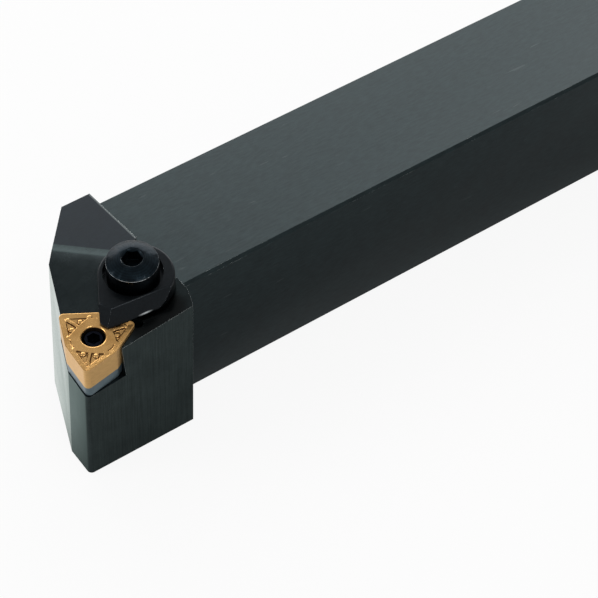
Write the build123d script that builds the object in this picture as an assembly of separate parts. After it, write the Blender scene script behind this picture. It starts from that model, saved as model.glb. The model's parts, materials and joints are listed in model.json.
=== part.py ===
from build123d import *

import math
import os

# Square-shank external turning tool holder, right hand, with a trigon insert held by a finger clamp.
# Frame: +X runs along the shank to its rear end, the cutting side faces -Y, +Z is up.
# The origin is the centre of the shank's underside. All sizes are in millimetres and degrees.

# Shank and head, standard sizes
overall_length = 150.0
shank_width = 25.0
shank_height = 25.0
shank_chamfer = 0.5
rear_chamfer = 1.0
tip_offset = 32.0
tip_height = 25.0
approach_angle = 95.0
seat_tilt = 6.0

# Head outline, measured from the cutting tip in plan
head_length = 23.0
side_clearance = 0.8
edge_clearance = 0.6
nose_edge_radius = 0.8
front_relief_start = 6.9
front_relief_angle = 24.3
front_relief_length = 16.5
back_relief_angle = 43.0
rear_corner_length = 3.2
rear_corner_angle = 22.0
shoulder_radius = 1.5

# Head top
head_rise = 2.9
chip_clearance = 0.65
land_drop = 0.08
land_blend = 1.8

# Insert and shim
insert_ic = 9.525
insert_thickness = 4.76
insert_nose_radius = 0.8
insert_obtuse_radius = 0.4
insert_hole = 3.81
insert_hole_rim = 0.25
edge_land = 0.2
groove_nose_radius = 0.56
former_depth = 0.22
former_slope = 60.0
island_reach = 3.4
island_margin = 0.95
island_corner_radius = 0.6
island_slope = 40.0
finger_width = 0.75
finger_reach = 5.5
shim_thickness = 2.38
shim_inset = 0.12
shim_nose_radius = 0.9
shim_chamfer = 0.15
shim_collar_gap = 0.1
wall_gap = 0.03
free_wall_gap = 0.3
side_notch = 1.16
corner_relief_radius = 0.9

# Shim pin
pin_head = 3.62
pin_top_depth = 0.6
pin_collar = 5.4
pin_collar_height = 1.0
pin_thread = 4.0
pin_length = 14.5
pin_hole_depth = 11.5
pin_key = 2.0
pin_key_depth = 1.6
pin_chamfer = 0.35

# Clamp
clamp_reach = 12.5
clamp_angle = 23.0
clamp_boss_radius = 6.3
clamp_boss_shift = 0.6
clamp_height = 2.85
clamp_nose_reach = 2.4
clamp_nose_radius = 0.8
clamp_nose_half_width = 1.2
clamp_nose_land = 0.35
clamp_nose_slope = 38.0
clamp_flank_slope = 27.5
clamp_edge_radius = 0.4
clamp_rest_gap = 0.02
clamp_counterbore = 10.0
clamp_counterbore_depth = 1.6
clamp_hole = 5.5
keel_width = 10.1
keel_front = 4.0
keel_back = 3.7
keel_depth = 2.05
keel_inset = 0.3
heel_ramp_angle = 20.0
heel_ramp_top = 0.9
heel_gap = 0.03
channel_side_gap = 0.1
channel_end_gap = 0.2
channel_floor_gap = 0.5
channel_corner_radius = 2.5

# Clamp screw, M5
screw_thread = 5.0
thread_clearance = 0.05
screw_head = 8.7
screw_head_height = 4.4
screw_dome_height = 0.85
screw_dome_flat = 2.3
screw_rim_chamfer = 0.15
screw_key = 3.0
screw_key_depth = 2.4
screw_key_mouth = 3.7
screw_length = 18.0
screw_seat_gap = 0.02
screw_tip_chamfer = 0.6
screw_hole_depth = 21.0

# Spring under the clamp
spring_wire = 0.8
spring_wire_sides = 8
spring_mean_diameter = 6.3
spring_turns = 4.0
spring_well = 7.5
spring_well_depth = 6.5
spring_end_gap = 0.05

BIG = 200.0

# Places worked out from the sizes above
tip_x = -overall_length / 2
tip_y = shank_width / 2 - tip_offset
rear_x = overall_length / 2
back_y = shank_width / 2
front_y = -shank_width / 2
head_rear_x = tip_x + head_length
side_y = tip_y + side_clearance
lead = approach_angle - 90.0

slope = math.tan(math.radians(seat_tilt))
seat_normal = Vector(-slope, -slope, 1).normalized()
seat_x = Vector(0, 1, 0).cross(seat_normal).normalized()
rake = Plane(origin=(tip_x, tip_y, tip_height), x_dir=seat_x, z_dir=seat_normal)

# The insert's sharp corner lies a little outside the tip that the holder's sizes are measured to.
inscribed = insert_ic / 2
acute_reach = inscribed / math.sin(math.radians(40))
obtuse_reach = inscribed / math.sin(math.radians(80))
nose_inset = insert_nose_radius / math.sin(math.radians(40))
sharp_offset = nose_inset * math.cos(math.radians(45)) - insert_nose_radius
seat_centre = (acute_reach - nose_inset) * math.cos(math.radians(45)) + insert_nose_radius
insert_plane = rake * Pos(seat_centre, seat_centre, 0)
floor_depth = insert_thickness + shim_thickness

# Clamp frame: +X towards the nose, +Z along the clamp screw, Z = 0 on the head's sloping top.
clamp_centre = (
    seat_centre + clamp_reach * math.cos(math.radians(clamp_angle)),
    seat_centre + clamp_reach * math.sin(math.radians(clamp_angle)),
)
clamp_place = rake * Pos(clamp_centre[0], clamp_centre[1], -chip_clearance)
clamp_frame = clamp_place * Rot(0, 0, 180 + clamp_angle)
clamp_bottom = chip_clearance + clamp_rest_gap
clamp_top = clamp_bottom + clamp_height
keel_bottom = clamp_bottom - keel_depth
channel_floor = keel_bottom - channel_floor_gap
screw_seat = clamp_top - clamp_counterbore_depth
well_floor = channel_floor - spring_well_depth


def polar(radius, angle):
    """A point at a radius and an angle in degrees."""
    turn = math.radians(angle)
    return Vector(radius * math.cos(turn), radius * math.sin(turn))


def corner_angles():
    """The six corners of the trigon, anticlockwise from the cutting corner, with their reach."""
    for turn in range(3):
        yield 225 + 120 * turn, acute_reach
        yield 285 + 120 * turn, obtuse_reach


def trigon_corners():
    """The trigon's sharp corners about its centre."""
    return [polar(reach, angle) for angle, reach in corner_angles()]


def trigon(inset, acute_radius, obtuse_radius):
    """A trigon face about its centre, moved inwards and with rounded corners."""
    scale_in = (inscribed - inset) / inscribed
    face = make_face(Polyline([corner * scale_in for corner in trigon_corners()], close=True))
    by_reach = face.vertices().sort_by(lambda vertex: vertex.center().length)
    face = fillet(by_reach[3:], acute_radius)
    by_reach = face.vertices().sort_by(lambda vertex: vertex.center().length)
    return fillet(by_reach[:3], obtuse_radius)


def chip_former():
    """What the chip former takes out of one rake face: a sloped groove round a raised island."""
    groove = extrude(
        trigon(edge_land, groove_nose_radius, insert_obtuse_radius),
        amount=-former_depth,
        taper=former_slope,
    )
    island = trigon(island_margin, insert_nose_radius, insert_obtuse_radius)
    for turn in range(3):
        corner = Rot(0, 0, 225 + 120 * turn)
        beyond = Pos(island_reach, 0) * Rectangle(BIG / 10, BIG / 10, align=(Align.MIN, Align.CENTER))
        island -= corner * beyond
    island = fillet(island.vertices().sort_by(lambda v: -v.center().length)[:6], island_corner_radius)
    for turn in range(3):
        finger = Pos(finger_reach / 2, 0) * Rectangle(finger_reach, finger_width)
        tip = Pos(finger_reach, 0) * Circle(finger_width / 2)
        island += Rot(0, 0, 225 + 120 * turn) * (finger + tip)
    rise = Pos(0, 0, -former_depth) * extrude(island, amount=former_depth, taper=island_slope)
    return groove - rise


def make_insert():
    """The double-sided trigon insert, on the rake plane."""
    body = extrude(
        trigon(0, insert_nose_radius, insert_obtuse_radius), amount=-insert_thickness
    )
    body -= Cylinder(insert_hole / 2, 3 * insert_thickness)
    rims = body.edges().filter_by(GeomType.CIRCLE)
    rims = rims.filter_by(lambda edge: abs(edge.radius - insert_hole / 2) < 1e-3)
    body = fillet(rims, insert_hole_rim)
    former = chip_former()
    body -= former
    body -= Pos(0, 0, -insert_thickness) * mirror(former, about=Plane.XY)
    return insert_plane * body


def make_shim():
    """The trigon seat plate under the insert, counterbored for the pin's collar."""
    plate = extrude(
        trigon(shim_inset, shim_nose_radius, insert_obtuse_radius), amount=-shim_thickness
    )
    plate = chamfer(plate.faces().sort_by(Axis.Z)[0].edges(), shim_chamfer)
    plate -= Cylinder(pin_thread / 2 + thread_clearance, 3 * shim_thickness)
    recess_depth = pin_collar_height + shim_collar_gap
    recess = Cylinder(pin_collar / 2 + shim_collar_gap, recess_depth)
    plate -= Pos(0, 0, -recess_depth / 2) * recess
    return insert_plane * Pos(0, 0, -insert_thickness) * plate


def turned(points):
    """A solid of revolution about Z from (radius, height) points."""
    profile = make_face(Polyline([(r, 0, z) for r, z in points], close=True))
    return revolve(profile, Axis.Z)


def make_shim_pin():
    """The threaded pin that holds the shim and fills the insert's hole."""
    collar_top = -insert_thickness - shim_collar_gap
    collar_bottom = collar_top - pin_collar_height
    foot = -pin_top_depth - pin_length
    shank = pin_thread / 2 - thread_clearance
    pin = turned(
        [
            (0, -pin_top_depth),
            (pin_head / 2 - pin_chamfer, -pin_top_depth),
            (pin_head / 2, -pin_top_depth - pin_chamfer),
            (pin_head / 2, collar_top),
            (pin_collar / 2, collar_top),
            (pin_collar / 2, collar_bottom),
            (shank, collar_bottom),
            (shank, foot + pin_chamfer),
            (shank - pin_chamfer, foot),
            (0, foot),
        ]
    )
    key = extrude(RegularPolygon(pin_key / 2, 6, major_radius=False), amount=-pin_key_depth)
    pin -= Pos(0, 0, -pin_top_depth) * key
    return insert_plane * pin


# The boss and nose lie a little to the cutting side of the clamp screw.
clamp_body = Pos(0, clamp_boss_shift, 0)
nose_end = clamp_reach - clamp_nose_reach


def clamp_sides(boss_radius):
    """Nose circle centre and the direction square to the clamp's straight side."""
    nose_x = nose_end - clamp_nose_radius
    nose_y = clamp_nose_half_width - clamp_nose_radius
    lean = math.acos((boss_radius - clamp_nose_radius) / math.hypot(nose_x, nose_y))
    return nose_x, nose_y, math.degrees(math.atan2(nose_y, nose_x) + lean)


def clamp_outline(boss_radius):
    """The clamp in plan: a round boss drawn out to a narrow nose."""
    nose_x, nose_y, side = clamp_sides(boss_radius)
    boss = [polar(boss_radius, angle) for angle in (side, 180, -side)]
    corner = [polar(clamp_nose_radius, angle) for angle in (side, side / 2, 0)]
    upper = [(nose_x + point.X, nose_y + point.Y) for point in corner]
    lower = [(x, -y) for x, y in reversed(upper)]
    edges = [
        ThreePointArc(*[(point.X, point.Y) for point in boss]),
        Line((boss[2].X, boss[2].Y), lower[2]),
        ThreePointArc(lower[2], lower[1], lower[0]),
        Line(lower[0], upper[2]),
        ThreePointArc(upper[2], upper[1], upper[0]),
        Line(upper[0], (boss[0].X, boss[0].Y)),
    ]
    return make_face(edges)


def slope_cutter(point, direction, lean):
    """A block over a plane through a point, facing a direction in plan and leaning up."""
    out = polar(math.cos(math.radians(lean)), direction)
    normal = Vector(out.X, out.Y, math.sin(math.radians(lean)))
    face = Plane(origin=point, x_dir=polar(1, direction + 90), z_dir=normal)
    return face * Pos(0, 0, BIG / 8) * Box(BIG / 4, BIG / 4, BIG / 4)


def ramp_height(x):
    """Height of the clamp's sloping heel at a distance along the clamp."""
    return -heel_ramp_top - (-keel_back - x) * math.tan(math.radians(heel_ramp_angle))


def side_view(points, half_width):
    """A block as wide as given either side, from points seen along the clamp's side."""
    face = make_face(Polyline([(x, 0, z) for x, z in points], close=True))
    return extrude(face, amount=half_width, both=True)


def rounded_front(block, front, radius):
    """The block with its two upright front edges rounded."""
    upright = block.edges().filter_by(Axis.Z)
    return fillet(upright.filter_by(lambda edge: edge.center().X > front - 1e-3), radius)


def channel_cut():
    """What the clamp's channel takes out of the head, open at the head's rear."""
    front = keel_front + channel_end_gap
    back = -keel_back - channel_end_gap
    ramp_end = -clamp_boss_radius - channel_side_gap
    points = [
        (front, channel_floor),
        (back, channel_floor),
        (back, ramp_height(back) - heel_gap),
        (ramp_end, ramp_height(ramp_end) - heel_gap),
        (-BIG / 8, ramp_height(ramp_end) - heel_gap),
        (-BIG / 8, BIG / 10),
        (front, BIG / 10),
    ]
    cut = side_view(points, keel_width / 2 + channel_side_gap)
    return rounded_front(cut, front, channel_corner_radius)


def make_keel():
    """The clamp's underside block, which slides in the channel, and its sloping heel."""
    top = clamp_bottom + clamp_height / 2
    points = [
        (keel_front, keel_bottom),
        (-keel_back, keel_bottom),
        (-keel_back, ramp_height(-keel_back)),
        (-clamp_boss_radius, ramp_height(-clamp_boss_radius)),
        (-clamp_boss_radius, top),
        (keel_front, top),
    ]
    keel = rounded_front(side_view(points, keel_width / 2), keel_front, channel_corner_radius)
    return keel & clamp_body * extrude(clamp_outline(clamp_boss_radius - keel_inset), amount=BIG, both=True)


def make_clamp():
    """The finger clamp: boss, tapered arm, sloping nose, keel and heel."""
    outline = clamp_outline(clamp_boss_radius)
    body = Pos(0, 0, clamp_bottom) * extrude(outline, amount=clamp_height)
    side = clamp_sides(clamp_boss_radius)[2]
    edge = polar(clamp_boss_radius, side)
    body -= slope_cutter((edge.X, edge.Y, clamp_bottom), side, clamp_flank_slope)
    nose = (nose_end, 0, clamp_bottom + clamp_nose_land)
    body -= slope_cutter(nose, 0, clamp_nose_slope)
    rim = body.edges().filter_by(lambda edge: edge.center().Z > clamp_top - 1e-3)
    body = clamp_body * fillet(rim, clamp_edge_radius)
    body += make_keel()
    body -= Cylinder(clamp_hole / 2, BIG)
    body -= Pos(0, 0, clamp_top) * Cylinder(clamp_counterbore / 2, 2 * clamp_counterbore_depth)
    return clamp_frame * body


def make_clamp_screw():
    """The clamp screw: cylindrical head with a low cone, plain shank for the thread."""
    seat = screw_seat + screw_seat_gap
    rim = seat + screw_head_height
    top = rim + screw_dome_height
    radius = screw_head / 2
    shank = screw_thread / 2 - thread_clearance
    foot = seat - screw_length
    screw = turned(
        [
            (0, top),
            (screw_dome_flat, top),
            (radius - screw_rim_chamfer, rim + screw_rim_chamfer / 2),
            (radius, rim - screw_rim_chamfer / 2),
            (radius, seat),
            (shank, seat),
            (shank, foot + screw_tip_chamfer),
            (shank - screw_tip_chamfer, foot),
            (0, foot),
        ]
    )
    key = extrude(RegularPolygon(screw_key / 2, 6, major_radius=False), amount=-screw_key_depth)
    mouth = screw_key_mouth / 2
    screw -= Pos(0, 0, top) * key
    screw -= turned([(0, top), (mouth, top), (0, top - mouth)])
    return clamp_frame * screw


def make_clamp_spring():
    """The coil spring round the clamp screw, between the head's well and the keel."""
    # The hidden wire has eight flats, which keeps its surface light.
    low = well_floor + spring_end_gap + spring_wire / 2
    high = keel_bottom - spring_end_gap - spring_wire / 2
    pitch = (high - low) / spring_turns
    path = Helix(pitch, high - low, spring_mean_diameter / 2, center=(0, 0, low))
    wire = RegularPolygon(spring_wire / 2, spring_wire_sides)
    section = Plane(origin=path @ 0, z_dir=path % 0) * wire
    return clamp_frame * sweep(section, path=path)


def head_outline():
    """The head in plan, from the step round the cutting tip to the rear corner."""
    relief = math.radians(front_relief_angle)
    lean = math.tan(math.radians(lead))
    front_x = tip_x - sharp_offset + edge_clearance / math.cos(math.radians(lead))
    nose = (front_x + (side_clearance + sharp_offset) * lean, side_y)
    knee_x = front_x + (front_relief_start + sharp_offset) * lean
    knee = (knee_x, tip_y + front_relief_start)
    hip_x = knee[0] + front_relief_length * math.sin(relief)
    hip = (hip_x, knee[1] + front_relief_length * math.cos(relief))
    back = math.tan(math.radians(back_relief_angle))
    back_corner = (hip[0] + (back_y - hip[1]) * back, back_y)
    rear_in = rear_corner_length * math.tan(math.radians(rear_corner_angle))
    return [
        (head_rear_x, back_y),
        back_corner,
        hip,
        knee,
        nose,
        (head_rear_x - rear_in, side_y),
        (head_rear_x, side_y + rear_corner_length),
        (head_rear_x, front_y),
    ]


def edge_bar(start, end, leg):
    """A square bar laid cornerwise along an edge, which cuts a chamfer with the given leg."""
    along = Vector(*end) - Vector(*start)
    side = leg * math.sqrt(2)
    bar = Box(side, side, along.length, align=(Align.CENTER, Align.CENTER, Align.MIN))
    across = Vector(0, 0, 1) if abs(along.Z) < 1e-6 else Vector(0, 1, 0)
    return Plane(origin=start, x_dir=across, z_dir=along) * Rot(0, 0, 45) * bar


def shank_edge_cuts():
    """The chamfers along the shank and round its rear end."""
    front_start = head_rear_x + shoulder_radius
    back_start = head_outline()[1][0]
    runs = [
        ((front_start, front_y, 0), (rear_x, front_y, 0)),
        ((front_start, front_y, shank_height), (rear_x, front_y, shank_height)),
        ((back_start, back_y, 0), (rear_x, back_y, 0)),
        ((head_rear_x, back_y, shank_height), (rear_x, back_y, shank_height)),
    ]
    cuts = [edge_bar(start, end, shank_chamfer) for start, end in runs]
    corners = [(front_y, 0), (back_y, 0), (back_y, shank_height), (front_y, shank_height)]
    for (y0, z0), (y1, z1) in zip(corners, corners[1:] + corners[:1]):
        cuts.append(edge_bar((rear_x, y0, z0), (rear_x, y1, z1), rear_chamfer))
    return cuts


def make_blank():
    """The bar with its offset head, before the top and the pocket are cut."""
    outline = head_outline()
    plan = make_face(Polyline([*outline, (rear_x, front_y), (rear_x, back_y)], close=True))
    root = plan.vertices().sort_by_distance((head_rear_x, front_y, 0))[0]
    plan = fillet(root, shoulder_radius)
    blank = extrude(plan, amount=tip_height + head_rise)
    nose = blank.edges().filter_by(Axis.Z).sort_by_distance((outline[4][0], outline[4][1], 0))[0]
    blank = fillet(nose, nose_edge_radius)
    over_shank = Box(BIG, BIG, BIG, align=(Align.MIN, Align.CENTER, Align.MIN))
    blank -= Pos(head_rear_x, 0, shank_height) * over_shank
    return blank - shank_edge_cuts()


def sloping_top():
    """What is taken off above the head's sloping top, which is level with the clamp's foot."""
    return clamp_place * Pos(0, 0, BIG / 4) * Box(BIG / 2, BIG / 2, BIG / 2)


def land_cut():
    """The dished land behind the ridge where the sloping top meets the head's full height."""
    top = tip_height + head_rise
    # The sloping top reaches full height along a line at 45 degrees in plan.
    rise = head_rise + chip_clearance * math.sqrt(1 + 2 * slope**2)
    along = Vector(1, 1, 0).normalized()
    origin = Vector(tip_x, tip_y, top) + along * (rise / slope / math.sqrt(2))
    section = Plane(origin=origin, x_dir=along, z_dir=Vector(1, -1, 0))
    radius = (land_blend**2 + land_drop**2) / (2 * land_drop)
    half = math.asin(land_blend / radius) / 2
    middle = (land_blend - radius * math.sin(half), radius * (1 - math.cos(half)) - land_drop)
    corners = [(land_blend, -land_drop), (BIG / 4, -land_drop), (BIG / 4, BIG / 20), (0, BIG / 20), (0, 0)]
    edges = [ThreePointArc((0, 0), middle, corners[0])]
    edges += [Line(a, b) for a, b in zip(corners, corners[1:])]
    return extrude(section * make_face(edges), amount=BIG / 4, both=True)


def wall_line(start, end, gap):
    """A pocket wall along an edge of the insert, set off from it by a gap."""
    along = (end - start).normalized()
    return start + Vector(along.Y, -along.X) * gap, along


def crossing(first, second):
    """Where two wall lines cross."""
    (a, u), (b, v) = first, second
    step = ((b.X - a.X) * v.Y - (b.Y - a.Y) * v.X) / (u.X * v.Y - u.Y * v.X)
    return a + u * step


def pocket_cut():
    """The insert's pocket: two locating walls, a free wall, corner relief and the open front."""
    near_obtuse, near_acute, far_obtuse, far_acute = trigon_corners()[1:5]
    side_wall = wall_line(near_obtuse, near_acute, wall_gap)
    free_wall = wall_line(near_acute, far_obtuse, free_wall_gap)
    back_wall = wall_line(far_obtuse, far_acute, wall_gap)
    notch = crossing(side_wall, (Vector(near_obtuse.X + side_notch, 0), Vector(0, 1)))
    far = back_wall[0] + back_wall[1] * BIG / 10
    inner = crossing(side_wall, free_wall)
    outline = [
        (notch.X, -BIG / 10),
        (notch.X, notch.Y),
        (inner.X, inner.Y),
        (crossing(free_wall, back_wall).X, crossing(free_wall, back_wall).Y),
        (far.X, far.Y),
        (-BIG / 10, far.Y),
        (-BIG / 10, -BIG / 10),
    ]
    void = extrude(make_face(Polyline(outline, close=True)), amount=BIG / 10)
    void += Pos(inner.X, inner.Y, BIG / 20) * Cylinder(corner_relief_radius, BIG / 10)
    return insert_plane * Pos(0, 0, -floor_depth) * void


def make_holder_body():
    """The steel holder: shank, raised head, pocket, clamp channel and tapped holes."""
    body = make_blank()
    body -= sloping_top()
    body -= land_cut()
    body -= pocket_cut()
    body -= clamp_frame * channel_cut()
    well = Cylinder(spring_well / 2, spring_well_depth + 1, align=(Align.CENTER, Align.CENTER, Align.MIN))
    body -= clamp_frame * Pos(0, 0, well_floor) * well
    bore = Cylinder(screw_thread / 2, screw_hole_depth, align=(Align.CENTER, Align.CENTER, Align.MAX))
    body -= clamp_frame * bore
    pin_bore = Cylinder(pin_thread / 2, pin_hole_depth, align=(Align.CENTER, Align.CENTER, Align.MAX))
    body -= insert_plane * Pos(0, 0, 1 - floor_depth) * pin_bore
    return body


def main():
    """Build every piece and write it out."""
    os.makedirs("parts", exist_ok=True)
    pieces = {
        "holder_body": make_holder_body(),
        "shim": make_shim(),
        "shim_pin": make_shim_pin(),
        "insert": make_insert(),
        "clamp": make_clamp(),
        "clamp_screw": make_clamp_screw(),
        "clamp_spring": make_clamp_spring(),
    }
    for name, piece in pieces.items():
        export_step(piece, f"parts/{name}.step")


main()
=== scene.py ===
# %% [markdown]
# # A turning tool holder
# A square steel shank carries a raised head. A trigon insert sits in the head's pocket on a seat
# plate, held by a threaded pin through its hole and by a finger clamp with its own screw.
# The packed model fixes every size and place, so this lesson only gives the pieces their finish:
# small rounded edges, the moulded chip former, real threads, and blackened, ground and coated
# surfaces. Lengths are in metres and angles in degrees unless a name or a comment says otherwise.

# %% Load the fixed frame
import json
import math

import bpy
from mathutils import Matrix, Vector


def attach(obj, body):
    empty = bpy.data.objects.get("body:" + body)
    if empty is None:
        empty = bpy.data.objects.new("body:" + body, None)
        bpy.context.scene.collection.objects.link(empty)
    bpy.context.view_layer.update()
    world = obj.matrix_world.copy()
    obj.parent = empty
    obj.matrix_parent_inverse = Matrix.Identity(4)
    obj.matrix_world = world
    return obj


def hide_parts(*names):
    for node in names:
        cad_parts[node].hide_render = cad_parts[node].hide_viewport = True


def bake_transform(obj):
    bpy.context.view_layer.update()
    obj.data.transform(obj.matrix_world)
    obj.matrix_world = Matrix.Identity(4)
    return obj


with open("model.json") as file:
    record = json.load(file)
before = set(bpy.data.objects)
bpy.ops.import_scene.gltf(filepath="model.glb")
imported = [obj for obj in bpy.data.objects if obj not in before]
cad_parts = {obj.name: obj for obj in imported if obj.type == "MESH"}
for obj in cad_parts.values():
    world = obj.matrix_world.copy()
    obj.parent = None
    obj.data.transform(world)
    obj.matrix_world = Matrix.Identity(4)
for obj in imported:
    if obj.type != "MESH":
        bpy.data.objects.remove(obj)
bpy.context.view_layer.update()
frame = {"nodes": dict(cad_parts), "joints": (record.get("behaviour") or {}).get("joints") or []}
nodes = frame["nodes"]
MM = 0.001
print("nodes:", ", ".join(sorted(nodes)))

# %% [markdown]
# The insert, its seat and the clamp all stand square to one sloping plane, so their details are
# easiest to place from that slope. The two joints carry it: both run along the clamp screw.

# %% The clamp screw's axis and the insert's place
INSERT_OFFSET = 5.16 * MM
CUTTING_TIP = Vector((-0.075, -0.0195, 0.025))

turn = next(joint for joint in frame["joints"] if joint["name"] == "clamp_screw_turn")
seat_normal = Vector(turn["axis"]).normalized()
seat_x = Vector((0, 1, 0)).cross(seat_normal).normalized()
seat_y = seat_normal.cross(seat_x)


def seat_frame(origin):
    """A matrix that takes points drawn square to the seat to their place on the tool."""
    return Matrix.Translation(origin) @ Matrix((seat_x, seat_y, seat_normal)).transposed().to_4x4()


screw_frame = seat_frame(Vector(turn["pos_m"]))
insert_frame = seat_frame(CUTTING_TIP + seat_x * INSERT_OFFSET + seat_y * INSERT_OFFSET)
to_screw = screw_frame.inverted()
to_insert = insert_frame.inverted()
print("clamp screw leans", round(math.degrees(seat_normal.angle(Vector((0, 0, 1)))), 2), "degrees")

# %% [markdown]
# The camera is placed first, since every finish is judged through it. It looks down at the head
# from the cutting side through a long lens, so the shank's edges run nearly parallel.

# %% Camera
CAMERA_PLACE = Vector((-0.241887, -0.276147, 0.337737))
CAMERA_AZIMUTH = 39.296
CAMERA_DOWN = 44.087
CAMERA_ROLL = 2.041
FOCAL_PIXELS = 2750
FRAME_PIXELS = 598
SENSOR_MM = 36


def camera_matrix(place, azimuth, down, roll):
    """The matrix of a camera that looks along an azimuth from +Y towards +X, tilted down."""
    a, d = math.radians(azimuth), math.radians(down)
    forward = Vector((math.sin(a) * math.cos(d), math.cos(a) * math.cos(d), -math.sin(d)))
    right = Vector((math.cos(a), -math.sin(a), 0))
    level = Matrix((right, right.cross(forward), -forward)).transposed().to_4x4()
    return Matrix.Translation(place) @ level @ Matrix.Rotation(math.radians(roll), 4, "Z")


lens = bpy.data.cameras.new("camera")
lens.sensor_width = SENSOR_MM
lens.lens = FOCAL_PIXELS / FRAME_PIXELS * SENSOR_MM
camera = bpy.data.objects.new("camera", lens)
camera.matrix_world = camera_matrix(CAMERA_PLACE, CAMERA_AZIMUTH, CAMERA_DOWN, CAMERA_ROLL)
bpy.context.scene.collection.objects.link(camera)
bpy.context.scene.camera = camera
bpy.context.scene.view_settings.view_transform = "Standard"
print("lens:", round(lens.lens, 1), "mm")

# %% [markdown]
# Blackened steel shows mostly what it mirrors, so the light is planned for reflections. A wide
# soft box stands low behind the tool and lights the top faces at a slant. A second one, on the
# left, picks out the clamp and the insert. A small one in front, high up, is mirrored by the
# rounded edges that look that way. The rest of the front stays dim, so the near side is dark.

# %% World and lamps
WORLD_LEVEL = 0.5
LAMP_TARGET = Vector((-0.05, 0, 0.02))
SOFT_BOXES = (
    # name, place, width and height, watts
    ("back_soft_box", (0.40, 0.70, 0.47), (1.3, 0.55), 6.0),
    ("left_soft_box", (-0.7, 0.3, 0.45), (0.35, 0.35), 1.4),
    ("front_soft_box", (-0.12, -0.5, 0.75), (0.3, 0.12), 1.1),
)

world = bpy.data.worlds.new("studio")
bpy.context.scene.world = world
world.use_nodes = True
sky = world.node_tree.nodes["Background"]
sky.inputs["Color"].default_value = (1, 1, 1, 1)
sky.inputs["Strength"].default_value = WORLD_LEVEL
for name, place, size, watts in SOFT_BOXES:
    lamp = bpy.data.lights.new(name, "AREA")
    lamp.shape = "RECTANGLE"
    lamp.size, lamp.size_y = size
    lamp.energy = watts
    lamp_object = bpy.data.objects.new(name, lamp)
    bpy.context.scene.collection.objects.link(lamp_object)
    lamp_object.location = place
    lamp_object.rotation_euler = (LAMP_TARGET - Vector(place)).to_track_quat("-Z", "Y").to_euler()
    print(name, watts, "W")

# %% [markdown]
# The tool lies on a wide floor. The floor is a hair lower than the shank's underside, because two
# faces in the same place flicker between one another.

# %% Floor
FLOOR_SIZE = 6
FLOOR_DROP = 0.05 * MM

bpy.ops.mesh.primitive_plane_add(size=FLOOR_SIZE, location=(0, 0, -FLOOR_DROP))
floor = bpy.context.object
floor.name = "floor"
print("floor:", FLOOR_SIZE, "m wide")

# %% [markdown]
# ## Writing materials as sums
# A material is a tree of nodes, which is hard to read when it is wired one link at a time. So one
# class adds the nodes of a material, and another wraps a node's output. With its operators a
# mask reads like ordinary arithmetic, and each operator adds the node that does it.

# %% One material's nodes


class Paint:
    """One material's node tree, with helpers that add nodes to it."""

    def __init__(self, name):
        self.material = bpy.data.materials.new(name)
        self.material.use_nodes = True
        self.tree = self.material.node_tree
        self.shader = self.tree.nodes["Principled BSDF"]
        self.place = self.node("ShaderNodeTexCoord", {}).out("Object")

    def node(self, kind, settings, *values, **named):
        """Adds a node: its settings first, then values or links, in order or by socket name."""
        made = self.tree.nodes.new(kind)
        for key, value in settings.items():
            setattr(made, key, value)
        for socket, value in zip(made.inputs, values):
            self.feed(socket, value)
        for key, value in named.items():
            self.feed(made.inputs[key.replace("_", " ")], value)
        return Step(self, made)

    def feed(self, socket, value):
        """Gives a socket a value, or a link from a Socket."""
        if isinstance(value, Socket):
            self.tree.links.new(value.socket, socket)
        else:
            socket.default_value = value

    def noise(self, scale, detail=2.0, rough=0.5, at=None):
        """Noise from 0 to 1, with its scale in waves per metre."""
        at = self.place if at is None else at
        made = self.node("ShaderNodeTexNoise", {}, Vector=at, Scale=scale, Detail=detail, Roughness=rough)
        return made.out("Fac")

    def stretch(self, factors, at=None):
        """The place scaled along each axis, which draws a pattern out into grain."""
        at = self.place if at is None else at
        return self.node("ShaderNodeVectorMath", {"operation": "MULTIPLY"}, at, factors).out("Vector")

    def mix(self, share, first, second):
        """A colour between two, by a share from 0 to 1."""
        made = self.node("ShaderNodeMix", {"data_type": "RGBA"}, Factor=share, A=rgba(first), B=rgba(second))
        return made.out("Result")

    def bump(self, height, distance):
        """Feeds the shader's normal from a height."""
        made = self.node("ShaderNodeBump", {}, Height=height, Distance=distance, Strength=1.0)
        self.feed(self.shader.inputs["Normal"], made.out("Normal"))

    def set(self, **values):
        """Sets or links the shader's own sockets."""
        for key, value in values.items():
            value = rgba(value) if isinstance(value, tuple) else value
            self.feed(self.shader.inputs[key.replace("_", " ")], value)


class Step:
    """A node that was just added."""

    def __init__(self, paint, node):
        self.paint = paint
        self.node = node

    def out(self, name):
        """One of the node's outputs, ready for arithmetic."""
        return Socket(self.paint, self.node.outputs[name])


print("a material's helpers:", ", ".join(name for name in vars(Paint) if not name.startswith("_")))

# %% [markdown]
# The operators are written with their reflected forms too, so that 1 - mask works as well as
# mask - 1. Python works out whatever is only numbers, and only what changes over the surface
# becomes a node.

# %% Arithmetic on sockets


class Socket:
    """An output socket that can be added, subtracted, multiplied and ramped."""

    def __init__(self, paint, socket):
        self.paint = paint
        self.socket = socket

    def combine(self, operation, first, second):
        """Adds the Math node for an operation."""
        return self.paint.node("ShaderNodeMath", {"operation": operation}, first, second).out("Value")

    def __add__(self, other):
        return self.combine("ADD", self, other)

    def __sub__(self, other):
        return self.combine("SUBTRACT", self, other)

    def __mul__(self, other):
        return self.combine("MULTIPLY", self, other)

    def __rsub__(self, other):
        return self.combine("SUBTRACT", other, self)

    __radd__ = __add__
    __rmul__ = __mul__

    def sine(self):
        """The sine of an angle in radians."""
        return self.combine("SINE", self, 0)

    def ramp(self, low, high):
        """Rises smoothly from 0 to 1 between two levels."""
        smooth = {"interpolation_type": "SMOOTHSTEP"}
        made = self.paint.node("ShaderNodeMapRange", smooth, Value=self, From_Min=low, From_Max=high)
        return made.out("Result")


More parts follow.
